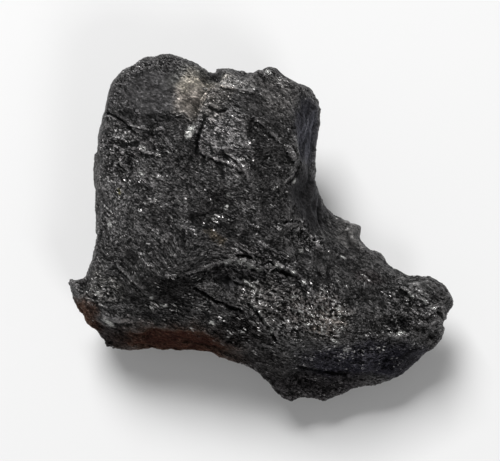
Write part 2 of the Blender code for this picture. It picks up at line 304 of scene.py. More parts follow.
CRUMPLED_PATCHES = (  # the same, for how strongly the finest ledges and scales show
    ((-1.0, -6.5, 20.5), (8.5, 3.4, 4.0), 1.0),  # along the arch
    ((3.0, -12.0, 17.5), (9.0, 6.0, 5.0), 1.0),  # folds under it
    ((8.0, -13.0, 17.2), (5.6, 4.2, 4.0), 1.35),  # crumpled place
    ((21.0, -11.5, 12.5), (6.5, 4.5, 4.5), 0.9),  # tip of the toe
    ((5.5, -2.0, 18.0), (5.0, 3.5, 5.0), 0.8),  # ring right of the arch
    ((-18.5, 9.0, 19.5), (4.5, 3.5, 4.0), 0.7),  # below the plate
    ((-4.9, 10.6, 22.5), (4.2, 5.4, 4.0), 0.5),  # block
    ((-22.0, -8.8, 15.5), (4.0, 3.0, 4.0), 0.7),  # heel
    ((0.0, -15.0, 14.0), (8.0, 3.6, 6.0), 0.6),  # near flank, middle
    ((13.0, -17.0, 12.0), (10.0, 3.6, 6.0), 0.4),  # near face of the toe
    ((15.0, -8.0, 13.5), (5.0, 3.6, 4.0), 0.25),  # top of the toe
    ((-11.0, -11.0, 17.0), (9.0, 3.0, 3.5), 0.4),  # bay left of the lip
)
print(len(ROUGHNESS_PATCHES), "rough or smooth patches and", len(CRUMPLED_PATCHES), "crumpled ones")


# %% Lay out the patches
FRAYING = 1.2  # how far noise shifts a patch's edge, in mm


def patched(places, common, patches, core):
    """A value at each point: the common one, and that of a patch inside the patch."""
    value = np.full(len(places), common)
    for middle, reach, inside in patches:
        value += (inside - value) * closeness(places, middle, reach, core)
    return value


def frayed(places, points):
    """The places, shifted by noise, so that a patch doesn't end in a smooth oval."""
    shifts = []
    for shift in (41, 53, 67):
        shifts.append(noise_at(points, 2.6, shift) + 0.6 * noise_at(points, 0.9, shift))
    return places + FRAYING * np.stack(shifts, axis=1)


def roughness_at(patch_places):
    """How rough each point is."""
    return patched(patch_places, COMMON_ROUGHNESS, ROUGHNESS_PATCHES, 0.5)


def crumple_at(patch_places):
    """How crumpled each point is."""
    return patched(patch_places, COMMON_CRUMPLE, CRUMPLED_PATCHES, 0.4)


rough = roughness_at(read_skin(stone, "co"))
print("roughness from", round(rough.min(), 2), "to", round(rough.max(), 2))

# %% [markdown]
# Sheets break off in steps. Seen along the sheets, a broken slope is a staircase: flat treads
# and short risers. The rule below rounds a point's height above the sheets towards whole
# steps. It fades in and out in patches, and a second noise bends the edges a little. The
# fine ledges are much sharper, but they show only where the stone is crumpled.

# %% Ledges
# Height of a step in mm, how sharp it is, how far its edges stray in mm, and over what length.
LEDGES = (
    (1.7, 0.11, 1.0, 7.0),
    (0.75, 0.16, 0.45, 3.6),
)
FINE_LEDGES = ((0.4, 0.65, 0.35, 1.8),)
LEDGE_PATCH = 4.2  # size of the patches that the ledges come and go in, in mm


def ledge_moves(level, points, ledges):
    """How far each point moves square to the sheets. The level is its height above them."""
    moved = np.zeros(len(level))
    for height, sharpness, stray, length in ledges:
        bent = level + moved + stray * noise_at(points, length, 3 + height)
        part = bent / height - np.floor(bent / height)
        eased = part**4 / (part**4 + (1 - part) ** 4)
        patch = ramp(0.45 + 2.2 * noise_at(points, LEDGE_PATCH, 9 * height))
        moved += sharpness * patch * (eased - part) * height
    return moved


print("steps of", [ledge[0] for ledge in LEDGES + FINE_LEDGES], "mm")

# %% [markdown]
# Between the ledges the surface is scaly. Each scale is a small flat cell, longer along the
# edges than across them, that leans its own way and stands a little higher or lower than
# its neighbours. A Voronoi pattern gives the cells, and noise at a cell's middle decides its
# lean, so that the whole scale leans as one.

# %% Scales
SCALES = (  # length, width and thickness of the cells in mm, and how far they lean
    ((3.6, 2.0, 1.5), 0.055),
    ((1.5, 0.85, 0.6), 0.045),
    ((0.7, 0.45, 0.35), 0.06),
)
CRUMPLED_SCALES = (
    ((1.7, 0.55, 0.42), 0.36),
    ((0.85, 0.38, 0.3), 0.26),
)


def scale_move(sheet_place, scales):
    """How far a point moves outwards, from the scales that it lies on."""
    moved = 0.0
    for sizes, lean in scales:
        place = Vector(sheet_place / sizes)
        centre = noise.voronoi(place)[1][0]
        tilt = noise.noise_vector(centre * 6.7)
        moved += lean * (tilt.dot(place - centre) + 0.4 * tilt.z)
    return moved


print("scales of", [sizes[0] for sizes, _ in SCALES + CRUMPLED_SCALES], "mm")

# %% [markdown]
# Last come the marks that this one stone has: the cracks between sheets that have started
# to part, and the lips where a thicker pack of sheets ends. Each is a line over the top of
# the stone. A crack is a narrow groove along its line. A lip is a line with a raised edge on
# its left side, looking along it, and a drop on its right side. A lip with a negative height
# has them the other way round.

# %% Where the cracks and the lips run
CRACKS = (  # points (x, y), half width and depth, all in mm
    ([(-21.8, 15.4), (-20.4, 14.5), (-18.9, 13.4), (-17.6, 11.8)], 0.18, 0.35),  # under the plate
    ([(-7.7, 13.6), (-8.3, 11.8), (-8.9, 10.0), (-9.0, 8.6)], 0.22, 0.22),  # left side of the block
    ([(-7.0, 14.7), (-6.0, 14.2), (-5.0, 14.4)], 0.25, 0.4),  # far side of the block
    ([(-9.1, -9.4), (-7.7, -10.4), (-6.4, -11.1), (-4.6, -11.8), (-3.0, -12.4)], 0.22, 0.9),  # longest
    ([(-1.9, -11.6), (-0.9, -12.7), (-0.1, -13.6), (0.9, -14.9), (1.8, -16.2)], 0.26, 0.8),  # fold
    ([(-3.3, -5.5), (-2.4, -5.5), (-1.7, -5.8)], 0.26, 0.8),  # behind the lip
    ([(-0.8, -5.6), (0.3, -6.0), (1.3, -6.4)], 0.34, 0.9),  # further right
    ([(1.7, -7.1), (3.1, -7.6), (4.5, -7.9)], 0.3, 0.8),  # where the lip turns down
    ([(5.0, -19.4), (7.0, -19.8), (8.8, -20.1), (11.8, -20.5)], 0.22, 0.25),  # near face of the toe
    ([(-20.8, 10.9), (-18.8, 10.3), (-17.2, 10.2)], 0.5, 0.3),  # left face
    ([(24.6, -11.6), (25.4, -12.6), (26.4, -13.0)], 0.35, 0.45),  # tip of the toe
)
LIPS = (  # points (x, y), width and height, all in mm
    # The arch: its left end, the lip over the hollow, and its right end.
    ([(-12.8, -8.4), (-10.8, -8.1), (-8.8, -7.5), (-7.0, -6.9), (-5.3, -6.2), (-3.4, -6.2)], 1.2, 0.4),
    ([(-3.4, -6.2), (-1.2, -6.8), (0.1, -7.3), (1.8, -7.2)], 1.2, 0.6),
    ([(-0.6, -6.2), (1.4, -6.5), (3.5, -7.1), (4.9, -8.1), (6.1, -9.5), (7.0, -10.9)], 1.2, 0.5),
    ([(-8.4, -9.9), (-6.8, -10.9), (-4.9, -11.7), (-3.0, -12.4)], 0.7, 0.2),  # above the long crack
    ([(-21.6, 14.8), (-18.9, 13.1), (-16.8, 12.3), (-13.9, 11.9)], 1.0, 0.12),  # edge of the plate
    ([(-8.6, 9.2), (-8.2, 8.4), (-6.4, 7.5), (-4.1, 6.8), (-3.0, 5.8)], 1.0, 0.5),  # foot of the block
    ([(-5.1, 8.6), (-3.5, 7.4), (-1.9, 4.7)], 0.7, 0.3),  # ledge above that foot
    ([(-1.0, 13.1), (0.0, 12.2), (1.8, 10.8), (3.0, 9.4), (4.4, 7.8)], 1.3, 0.3),  # right of the block
    ([(4.2, 9.6), (4.9, 8.4), (4.7, 7.0), (4.2, 6.0), (3.4, 5.2)], 0.9, -0.5),  # lobe on the right
    ([(3.4, -0.9), (4.7, -0.6), (6.0, -1.0), (7.0, -2.0), (7.9, -3.0), (8.5, -3.8)], 0.7, -0.9),  # ring
    ([(-3.4, -8.6), (-2.3, -8.9), (-0.5, -10.1), (0.2, -11.2)], 0.8, 0.35),  # below the hollow
    ([(-1.4, -11.5), (-0.4, -12.8), (0.6, -14.2), (1.8, -15.8)], 0.7, 0.5),  # fold
    ([(19.6, -8.8), (21.9, -10.2), (23.5, -11.1), (24.7, -11.8)], 0.9, 0.5),  # ridge on the toe
    ([(17.2, -14.9), (18.8, -15.2), (20.4, -14.9)], 0.8, -0.5),  # rim of the pit
    ([(-19.7, -6.6), (-18.0, -8.1), (-16.3, -10.0)], 0.8, 0.3),  # left end of the bay
    ([(-22.4, -12.9), (-20.8, -13.6), (-18.4, -13.7)], 0.8, 0.35),  # heel
    ([(-16.6, 9.0), (-15.4, 8.4), (-14.2, 8.4)], 0.7, 0.4),  # left face
    ([(-5.4, 17.9), (-3.4, 17.4), (-1.4, 17.2)], 0.8, 0.4),  # break on the far edge
)
print(len(CRACKS), "cracks and", len(LIPS), "lips")

# %% [markdown]
# To carve along a line, each point has to know how far it is from the line, and on which
# side. The line is a chain of straight runs, so the nearest of them decides. Along with the
# depth goes the wear and painted light. A raised edge is painted pale, partly rubbed and partly
# a painted highlight. A crack and the foot of a drop are painted dark, partly dust and partly
# painted shade.


# %% Carve the cracks and the lips
PAINTED_EDGE_WIDTH = 0.6  # how wide the painted edge of a lip is, in mm: pale on the raised side, partly rubbed and partly a painted highlight, and painted shade on its drop


def across_line(line, plan):
    """For each point, its distance from the line, and its side: 1 to the left of the line."""
    nearest = np.full(len(plan), 1e9)
    side = np.zeros(len(plan))
    for start, end in zip(line, line[1:]):
        start, run = np.array(start), np.subtract(end, start)
        share = np.clip((plan - start) @ run / (run @ run), 0, 1)
        offset = plan - (start + share[:, None] * run)
        distance = np.hypot(offset[:, 0], offset[:, 1])
        closer = distance < nearest
        nearest[closer] = distance[closer]
        side[closer] = np.sign(run[0] * offset[:, 1] - run[1] * offset[:, 0])[closer]
    return nearest, side


def crack_marks(plan):
    """How far each point moves for the cracks, and its wear: below 0, where it is painted dark, partly
    as dust and partly as painted shade.
    """
    moved = np.zeros(len(plan))
    wear_and_painted_light = np.zeros(len(plan))
    for line, half_width, depth in CRACKS:
        distance, _ = across_line(line, plan)
        moved -= depth * np.clip(1 - distance / half_width, 0, 1) ** 0.7
        wear_and_painted_light -= np.clip(1.3 - distance / half_width, 0, 1)
    return moved, wear_and_painted_light


def lip_marks(plan):
    """How far each point moves for the lips, and its wear: above 0 on the raised edge, painted pale,
    partly rubbed and partly a painted highlight, and below 0 on the drop, painted shade.
    """
    moved = np.zeros(len(plan))
    wear_and_painted_light = np.zeros(len(plan))
    for line, width, height in LIPS:
        distance, side = across_line(line, plan)
        fade = np.clip(1 - distance / width, 0, 1)
        moved += height * np.where(side > 0, 0.6 * fade**2, -0.6 * fade**1.5)
        wear_and_painted_light += np.clip(1 - distance / PAINTED_EDGE_WIDTH, 0, 1) * np.where(side * height > 0, 1.0, -0.4)
    return moved, wear_and_painted_light


seen_from_above = read_skin(stone, "co")[:, :2]
print("deepest crack:", round(-crack_marks(seen_from_above)[0].min(), 2), "mm")

# %% [markdown]
# Here and there a single flake has come off clean and left a bright mirror. Where such a
# mirror glints, the glint is painted into the colour as a pale chip. The eye knows the stone by
# the larger of these chips, so each of them has its own place in a list. The thousands of
# smaller ones are left to chance, further down, as painted sparks.

# %% Chips: painted glints
# Place (x, y), half length and half width in mm, the length's direction in degrees, how fresh, which is
# how strongly its painted glint shows.
GLINT_CHIPS = (
    # the broad end, the middle and the left face
    ((-9.8, 11.6), 0.90, 0.50, 60, 0.8),
    ((-16.3, 9.5), 0.45, 0.28, -40, 1.0),
    ((-4.9, 1.3), 0.32, 0.20, 70, 0.8),
    ((-4.6, 2.9), 0.28, 0.18, 60, 0.7),
    ((0.8, 21.0), 0.50, 0.22, -15, 1.0),
    # the heel, and the near flank up to the fold
    ((-22.7, -9.6), 0.35, 0.22, 0, 1.0),
    ((-23.6, -8.9), 0.30, 0.18, -30, 0.7),
    ((-21.4, -13.6), 0.80, 0.20, -30, 0.8),
    ((-13.5, -11.5), 0.50, 0.18, -10, 0.9),
    ((-15.2, -10.6), 0.30, 0.14, -10, 0.7),
    ((-6.9, -13.9), 0.40, 0.16, -20, 0.6),
    ((-1.7, -8.9), 0.80, 0.20, -40, 0.8),
    ((-0.6, -10.0), 0.50, 0.18, -50, 0.7),
    ((-1.2, -11.7), 0.50, 0.18, -50, 0.8),
    ((-0.4, -12.7), 0.45, 0.16, -60, 0.8),
    ((0.5, -13.9), 0.50, 0.18, -50, 0.7),
    ((1.2, -15.1), 0.40, 0.16, -50, 0.6),
    # along the lip
    ((-4.5, -6.1), 0.55, 0.20, 20, 0.8),
    ((-3.0, -6.2), 0.50, 0.22, -5, 1.0),
    ((-1.8, -6.6), 0.45, 0.22, -25, 1.0),
    ((-0.6, -7.0), 0.45, 0.20, -20, 0.9),
    ((2.2, -6.7), 0.55, 0.24, -15, 0.9),
    ((4.2, -7.5), 0.50, 0.20, -35, 0.9),
    ((5.6, -8.8), 0.45, 0.18, -50, 0.8),
    # the ring, the toe, and single ones elsewhere
    ((5.3, -4.3), 0.30, 0.20, 0, 0.9),
    ((11.2, -4.4), 0.30, 0.12, -10, 0.7),
    ((21.0, -9.6), 0.55, 0.18, -30, 0.8),
    ((22.6, -10.5), 0.65, 0.20, -35, 0.9),
    ((23.9, -11.3), 0.50, 0.18, -35, 0.8),
    ((19.3, -15.0), 0.55, 0.20, 10, 1.0),
    ((9.9, -16.3), 0.50, 0.16, -30, 0.9),
    ((11.6, -17.4), 0.40, 0.14, -30, 0.8),
    ((4.4, 5.4), 0.30, 0.18, 40, 0.7),
    ((-20.9, -0.6), 0.25, 0.35, 0, 0.7),
    ((-16.4, 6.0), 0.50, 0.20, -30, 0.5),
    # the crumpled place
    ((8.2, -13.2), 0.22, 0.20, 0, 0.9),
    ((8.2, -12.0), 0.22, 0.18, 0, 0.9),
    ((10.4, -12.0), 0.30, 0.20, 20, 1.0),
    ((10.6, -12.9), 0.30, 0.20, 80, 1.0),
    ((9.7, -13.3), 0.22, 0.18, -40, 0.8),
    ((6.2, -14.3), 0.26, 0.18, 0, 0.9),
    ((7.9, -14.2), 0.34, 0.15, -70, 1.0),
    ((8.1, -14.8), 0.28, 0.13, -80, 1.0),
    ((9.9, -14.4), 0.30, 0.20, -30, 0.8),
    ((10.4, -15.2), 0.50, 0.13, -45, 1.0),
    ((11.0, -14.7), 0.42, 0.15, -45, 0.9),
    ((5.0, -12.5), 0.30, 0.15, -20, 0.8),
    ((4.4, -10.6), 0.45, 0.15, -10, 0.9),
    ((6.6, -12.9), 0.35, 0.14, -50, 0.7),
    ((5.6, -13.4), 0.30, 0.12, -50, 0.7),
    ((9.0, -12.6), 0.30, 0.14, -50, 0.7),
)


def chip_glint_cover(plan):
    """How strongly the chips' painted glints show, and 0 beside them."""
    cover = np.zeros(len(plan))
    for middle, half_length, half_width, degrees, fresh in GLINT_CHIPS:
        offset = (plan - middle) @ (1, 1j) * np.exp(-1j * math.radians(degrees))
        away = np.hypot(offset.real / half_length, offset.imag / half_width)
        cover = np.maximum(cover, fresh * ramp((1.5 - away) / 0.8))
    return cover


print(len(GLINT_CHIPS), "chips, the longest", 2 * max(chip_glint[1] for chip_glint in GLINT_CHIPS), "mm")

# %% [markdown]
# The marks aren't drawn as they stand in the lists. They bend with a little noise, so that
# no crack is a ruled line. A lip is also broken into flakes by a finer noise, while a crack
# stays nearly whole. The upright sides and the underside get no marks.

# %% Bend and break the marks
MARK_WOBBLE = 0.17  # mm
LOWEST_MARK = 5.0  # marks start at this height in mm, and are whole 1 mm higher


def strayed(places, points):
    """Where each point is seen from above, bent by noise so that no mark is ruled."""
    wobble = []
    for shift in (11, 23):
        wobble.append(noise_at(points, 1.7, shift) + 0.7 * noise_at(points, 0.6, shift))
    return places[:, :2] + MARK_WOBBLE * np.stack(wobble, axis=1)


def all_marks(places, normals, points):
    """How far each point moves for the marks, and how worn it is there, with its painted highlight and
    painted shade.
    """
    plan = strayed(places, points)
    # Steep places take the marks weakly, and upright or overhanging ones not at all.
    facing_up = np.clip(normals[:, 2] * 2.5, 0, 1) * np.clip(places[:, 2] - LOWEST_MARK, 0, 1)
    wide = 1.5 * noise_at(points, 1.6, 31)
    fine = 1.8 * noise_at(points, 0.55, 37)
    kept_height = ramp(0.75 + wide + fine)
    kept_wear_and_painted_light = ramp(1.0 + wide + 0.6 * fine)
    cracks = np.array(crack_marks(plan)) * ramp(1.05 + 0.8 * wide)
    lips = np.array(lip_marks(plan)) * (kept_height, kept_wear_and_painted_light)
    moved, wear_and_painted_light = (cracks + lips) * facing_up
    return moved, np.clip(wear_and_painted_light, -1, 1)


print("marks wander by about", MARK_WOBBLE, "mm")

# %% [markdown]
# Now the rules are put to work on every point of the skin. Scales, grit and marks push it
# outwards or inwards, and ledges move it square to the sheets. Close to the floor most of it
# fades, and no point goes below the floor, because the stone has to lie flat.

# %% Shape the skin
GRIT = 0.04  # mm
JITTER = 0.025  # mm, to hide the even rows of the remesh
CALM_HEIGHT = 2.0  # the relief fades below this height, in mm


def shape_skin(piece):
    """Moves every point of the skin by the rules."""
    places = read_skin(piece, "co")
    normals = read_skin(piece, "normal")
    points = [Vector(place) for place in places]
    patch_places = frayed(places, points)
    rough = roughness_at(patch_places) * (0.15 + 0.85 * ramp(places[:, 2] / CALM_HEIGHT))
    crumple = crumple_at(patch_places)
    places += np.random.default_rng(7).normal(0, JITTER, places.shape) * rough[:, None]
    bent = sheet_places(places)
    scales = np.array([scale_move(place, SCALES) for place in bent])
    crumpled = np.array([scale_move(place, CRUMPLED_SCALES) for place in bent]) * crumple
    grit = noise_at(points, 0.4, 2) * GRIT
    marks, _ = all_marks(places, normals, points)
    outwards = (scales + grit) * rough + crumpled + marks
    moved = places + normals * outwards[:, None]
    level = bent[:, 2] + 0.22 * noise_at(points, 1.1, 5) + 0.14 * noise_at(points, 0.5, 7)
    steps = ledge_moves(level, points, LEDGES) * rough
    steps += ledge_moves(level + steps, points, FINE_LEDGES) * crumple
    moved += np.outer(steps, SHEET_NORMAL)
    moved[:, 2] = np.maximum(moved[:, 2], 0.0)
    write_skin(piece, moved)


shape_skin(stone)
print("highest point:", round(read_skin(stone, "co")[:, 2].max(), 2), "mm")

# %% [markdown]
# The skin has far more points than its plain parts need. The decimate modifier takes points
# away where the surface is even, and leaves them along the ledges. A vertex group tells it
# to take more from the sides and the underside than from the top. The square faces are made
# triangles first, because thinning squares can leave two triangles folded onto each other.

# %% Thin the skin
MOST_TRIANGLES = 196000
SPARE_ON_TOP = 0.25  # how readily points are taken there, against 1 elsewhere

spare = stone.vertex_groups.new(name="spare")
for index, normal in enumerate(read_skin(stone, "normal")):
    spare.add([index], SPARE_ON_TOP if normal[2] >= 0.1 else 1.0, "REPLACE")
apply_modifier(stone, "TRIANGULATE", quad_method="BEAUTY")
kept_share = MOST_TRIANGLES / len(stone.data.polygons)
apply_modifier(stone, "DECIMATE", ratio=kept_share, vertex_group="spare")
print("thinned:", len(stone.data.polygons), "triangles")

# %% [markdown]
# ## The finish
# Under the light the stone is a patchwork. Fresh scales shine, worn ones are dull, and the
# cracks are dark with dust and painted shade. Part of this is painted into the colour: points
# that stand out are made paler, a painted highlight, and hollows darker, painted shade. The
# finish therefore needs to know how far each point stands out of its surroundings. To find out,
# a copy of the points is smoothed, and each point is compared with its smoothed self. A few
# rounds of smoothing find single scales, and many rounds find whole ridges. The result is kept
# on the mesh, where the material can read it.

# %% Keep how far each point stands out
FINE_ROUNDS = 10
BROAD_ROUNDS = 100


def standing_out(piece, rounds):
    """How far each point stands out of its surroundings, in mm."""
    places = read_skin(piece, "co")
    normals = read_skin(piece, "normal")
    ends = np.empty(len(piece.data.edges) * 2, np.int32)
    piece.data.edges.foreach_get("vertices", ends)
    first, second = ends.reshape(-1, 2).T
    count = np.bincount(ends, minlength=len(places))[:, None]
    smooth = places
    for _ in range(rounds):
        total = np.zeros_like(smooth)
        for axis in range(3):
            total[:, axis] = np.bincount(first, smooth[second, axis], len(places))
            total[:, axis] += np.bincount(second, smooth[first, axis], len(places))
        smooth = 0.5 * smooth + 0.5 * total / count
    return ((places - smooth) * normals).sum(axis=1)


def keep(piece, name, values):
    """Keeps one number for each point on the mesh."""
    kept = piece.data.attributes.new(name, "FLOAT", "POINT")
    kept.data.foreach_set("value", values.astype(np.float32))
    print(name, "from", round(values.min(), 2), "to", round(values.max(), 2))


keep(stone, "fine_height", standing_out(stone, FINE_ROUNDS))
keep(stone, "broad_height", standing_out(stone, BROAD_ROUNDS))
bpy.ops.object.shade_smooth_by_angle(angle=math.radians(18))

# %% [markdown]
# ## Stains, painted light and painted shade
# Some places differ from the rest in colour: the dull plate, a tan smear of clay beside it, the
# rusty near flank and a few specks. Many of the other patches are painted light and shade. Pale
# ones paint highlights where the far lamp catches the block, the lip, the crumpled place and other
# tops and edges. Dark ones paint shade on faces turned from the lamps and in hollows, bluish on the
# right flank and the near face of the toe. The rusty flank also carries painted shade and a painted
# reddish reflection. A painter would glaze all of them over the finished grey, and so does this
# step. Each glaze is a colour that the grey is multiplied by, laid on in a patch with a frayed edge.
# A colour above 1 makes the stone paler there. A second list says where many flakes glitter, with
# painted glints.

# %% Where the stains, painted light and painted shade lie
STAINS_AND_PAINTED_LIGHT = (  # middle and reach in mm, and the colour
    ((-14.6, 17.0, 19.0), (8.2, 6.2, 6.0), (0.74, 0.74, 0.75)),  # dull plate
    ((-9.6, 19.6, 19.5), (5.0, 2.6, 4.0), (1.5, 1.52, 1.45)),  # paler far edge of it
    ((-8.0, 16.6, 20.5), (5.6, 6.0, 4.0), (1.85, 1.8, 1.71)),  # haze of clay
    ((-9.2, 16.9, 20.5), (3.8, 4.6, 3.0), (1.95, 1.86, 1.74)),  # the smear itself
    ((-3.7, 19.2, 20.5), (3.0, 2.2, 3.0), (2.6, 2.6, 2.55)),  # pale break on the far edge: painted highlight where the far lamp catches it
    ((-4.9, 10.8, 22.5), (3.7, 5.2, 4.0), (2.4, 2.4, 2.4)),  # block, paler: painted highlight where it faces the far lamp
    ((-3.0, 6.0, 22.2), (2.6, 2.4, 2.5), (1.5, 1.5, 1.5)),  # below the block
    ((-0.9, 10.8, 22.0), (1.1, 3.6, 3.0), (0.6, 0.6, 0.6)),  # valley right of the block: painted shade
    ((-10.6, 8.0, 21.6), (2.4, 2.8, 2.5), (0.5, 0.5, 0.5)),  # shade left of the block
    ((-6.0, -0.5, 21.8), (4.5, 1.8, 2.5), (0.65, 0.65, 0.65)),  # dull middle of the stone
    ((2.0, 17.0, 19.0), (4.5, 4.5, 6.0), (1.85, 1.83, 1.8)),  # right shoulder, paler: painted light on its lit top
    ((5.9, 13.0, 15.0), (4.6, 5.8, 7.0), (0.78, 0.79, 0.88)),  # right flank, darker and bluish: painted shade on a face turned from the lamp
    ((6.7, 3.6, 14.8), (4.6, 6.6, 7.5), (0.66, 0.66, 0.68)),  # neck, darker: painted shade
    ((12.2, -0.9, 11.0), (3.4, 3.2, 4.5), (2.15, 2.15, 2.1)),  # shelf
    ((-18.9, 11.2, 18.8), (3.0, 2.2, 3.0), (1.8, 1.8, 1.8)),  # pale patch below the plate: painted highlight where a ledge faces the lamp
    ((-16.4, 6.2, 20.5), (1.8, 1.6, 2.0), (1.6, 1.6, 1.6)),  # pale flakes on the left face: painted glints
    ((-20.8, 5.5, 18.5), (2.2, 1.8, 3.0), (1.5, 1.5, 1.5)),  # left edge, far part
    ((-20.2, 0.0, 19.3), (2.4, 3.4, 3.0), (1.4, 1.4, 1.4)),  # left edge, near part
    ((19.5, -6.5, 12.5), (4.5, 3.0, 4.0), (1.2, 1.2, 1.2)),  # far side of the toe
    ((21.6, -8.3, 12.2), (3.4, 1.8, 2.5), (1.7, 1.72, 1.7)),  # smooth top of the toe
    ((23.5, -11.5, 11.5), (3.5, 3.0, 3.0), (1.4, 1.4, 1.4)),  # tip of the toe
    ((-12.5, -9.0, 18.6), (6.5, 2.8, 3.5), (0.45, 0.45, 0.45)),  # bay left of the lip, darker: painted shade on a face turned from the lamp
    ((-13.5, -12.0, 16.5), (7.5, 3.0, 3.5), (0.57, 0.57, 0.57)),  # below that bay: painted shade
    ((-3.0, -15.3, 15.0), (6.0, 3.0, 5.0), (0.36, 0.35, 0.35)),  # near flank, middle: painted shade
    ((7.9, -13.1, 17.0), (5.4, 4.1, 4.0), (1.45, 1.38, 1.32)),  # crumpled place, paler and warm: painted highlight where it faces the far lamp
    ((8.6, -13.6, 16.7), (3.4, 2.6, 3.0), (1.5, 1.46, 1.4)),  # the middle of it: painted highlight
    ((1.5, -10.6, 18.0), (6.0, 3.6, 4.0), (1.2, 1.18, 1.15)),  # folds beside it
    ((-3.5, -8.1, 19.0), (3.8, 1.4, 2.5), (0.55, 0.55, 0.57)),  # hollow under the lip: painted shade
    ((18.8, -13.8, 13.4), (2.4, 1.4, 2.5), (0.3, 0.3, 0.31)),  # pit in the toe: painted shade
    ((14.8, -7.9, 13.5), (3.0, 1.6, 2.5), (0.7, 0.66, 0.66)),  # dull top of the toe
    ((14.8, -11.8, 15.0), (3.2, 1.2, 2.5), (1.35, 1.35, 1.35)),  # ridge beside the pit
    ((0.0, -19.0, 9.5), (5.5, 4.0, 6.0), (0.55, 0.54, 0.54)),  # foot of the near flank: painted shade
    ((-12.0, -16.8, 9.0), (12.5, 6.0, 10.0), (0.77, 0.60, 0.52)),  # near flank, red-brown: partly rust, partly painted shade and a painted reddish reflection
    ((-12.0, -16.4, 10.0), (9.0, 4.5, 6.5), (0.80, 0.63, 0.56)),  # its core
    ((-21.5, -15.2, 9.0), (4.0, 3.2, 7.0), (0.5, 0.48, 0.48)),  # dark end of it: painted shade
    ((-22.0, -8.8, 15.5), (4.2, 3.0, 4.0), (1.55, 1.55, 1.5)),  # heel
    ((-24.6, -12.2, 10.5), (3.2, 3.8, 5.0), (0.72, 0.52, 0.44)),  # side of the heel, red-brown: partly rust, partly painted shade and a painted reddish reflection
    ((13.0, -18.3, 11.0), (11.0, 4.0, 5.5), (0.55, 0.55, 0.64)),  # near face of the toe, dark and bluish: painted shade
    ((7.5, -21.8, 7.5), (9.5, 3.5, 4.5), (0.6, 0.58, 0.6)),  # below that face: painted shade
    ((20.5, -18.8, 7.5), (5.5, 4.2, 5.0), (0.62, 0.62, 0.68)),  # below its right end, bluish: painted shade
    ((-4.3, 2.6, 22.0), (2.0, 2.2, 2.0), (1.25, 1.25, 1.25)),  # pale flakes below the block: painted glints
    ((-14.3, 2.6, 21.3), (2.0, 2.2, 2.0), (1.3, 1.3, 1.3)),  # and on the left face
    ((-20.0, 9.2, 18.8), (1.6, 1.0, 2.0), (1.5, 1.5, 1.5)),  # and at its edge
    ((-4.0, -4.6, 21.5), (4.2, 1.1, 2.0), (1.35, 1.33, 1.33)),  # behind the lip
    ((0.0, -6.6, 20.2), (6.5, 1.2, 2.5), (1.8, 1.8, 1.8)),  # the lip, paler: painted highlight where it catches the far lamp
    ((6.0, -1.8, 17.0), (3.2, 1.8, 3.0), (1.35, 1.35, 1.35)),  # ring
    ((-3.9, -2.4, 21.8), (1.6, 1.6, 2.0), (0.6, 0.6, 0.6)),  # dull spot above the arch
    ((-6.3, -2.8, 21.7), (1.7, 1.2, 2.0), (1.45, 1.28, 1.02)),  # tan speck
    ((-20.1, 3.1, 19.4), (0.7, 0.7, 1.5), (1.8, 1.7, 0.9)),  # yellowish speck
)
print(len(STAINS_AND_PAINTED_LIGHT), "glazes")

# %% Where the stone glitters with painted glints
COMMON_PAINTED_GLITTER = 0.1
PAINTED_GLITTER_PATCHES = (  # middle and reach in mm, and how many painted glints it has, with -1 for none at all
    ((7.6, -13.0, 17.0), (6.0, 4.8, 4.0), 2.1),  # crumpled place
    ((-4.9, 10.6, 22.5), (4.2, 5.4, 4.0), 0.35),  # block
    ((-3.0, 18.8, 20.5), (2.6, 1.6, 3.0), 0.8),  # fresh break on the far edge
    ((-22.8, -8.6, 14.5), (3.4, 2.6, 4.0), 1.1),  # heel
    ((-18.9, 11.2, 18.8), (3.0, 2.4, 3.0), 0.9),  # under the plate
    ((-20.6, 1.0, 19.0), (2.0, 4.4, 4.0), 0.8),  # left edge
    ((0.0, -6.4, 20.3), (7.0, 1.2, 3.0), 1.3),  # along the lip
    ((0.5, -10.4, 18.2), (5.0, 3.6, 3.5), 1.1),  # folds under it
    ((-18.5, 5.0, 19.8), (3.5, 3.0, 3.0), 0.7),  # left face
    ((-14.3, 2.2, 21.2), (2.2, 2.0, 3.0), 0.9),  # its right part
    ((6.0, -1.6, 17.5), (3.2, 1.8, 4.0), 0.7),  # ring
    ((22.0, -10.5, 12.0), (3.6, 2.6, 3.0), 0.7),  # top of the toe
    ((18.5, -14.2, 13.0), (3.5, 2.0, 3.0), 1.2),  # edge along the toe
    ((0.0, -14.5, 15.0), (6.0, 3.0, 4.0), 0.9),  # near flank, middle
    ((12.0, -17.0, 13.0), (8.0, 2.8, 4.0), 0.9),  # near face of the toe
    ((-12.0, -12.0, 16.5), (8.0, 2.0, 3.0), 0.8),  # near flank, left
    ((-3.5, -7.8, 19.0), (3.8, 1.5, 2.5), -1.0),  # hollow under the lip
    ((-14.6, 17.0, 19.0), (9.0, 6.4, 6.0), -1.0),  # dull plate
    ((8.0, 8.0, 13.0), (4.0, 12.0, 9.0), -1.0),  # right flank and neck
    ((2.5, 16.5, 18.5), (5.0, 4.5, 6.0), -0.5),  # right shoulder
    ((12.2, -0.9, 11.0), (3.4, 3.2, 4.5), -1.0),  # shelf
    ((-12.0, -16.6, 8.5), (13.0, 3.4, 6.5), -1.0),  # rusty near flank
)
print(len(PAINTED_GLITTER_PATCHES), "patches of more or less glitter")

# %% [markdown]
# The lists are now worked out for every point of the thinned skin, and kept on it. A painter
# would call this vertex painting. The roughness, the crumpling, the wear with its painted light
# and shade, and the chips, which are painted glints, are kept in the same way, and so are the
# sheet coordinates, so that the material's patterns bend with the sheets, as the relief does.

# %% Keep the patches on the skin
places = read_skin(stone, "co")
points = [Vector(place) for place in places]
patch_places = frayed(places, points)

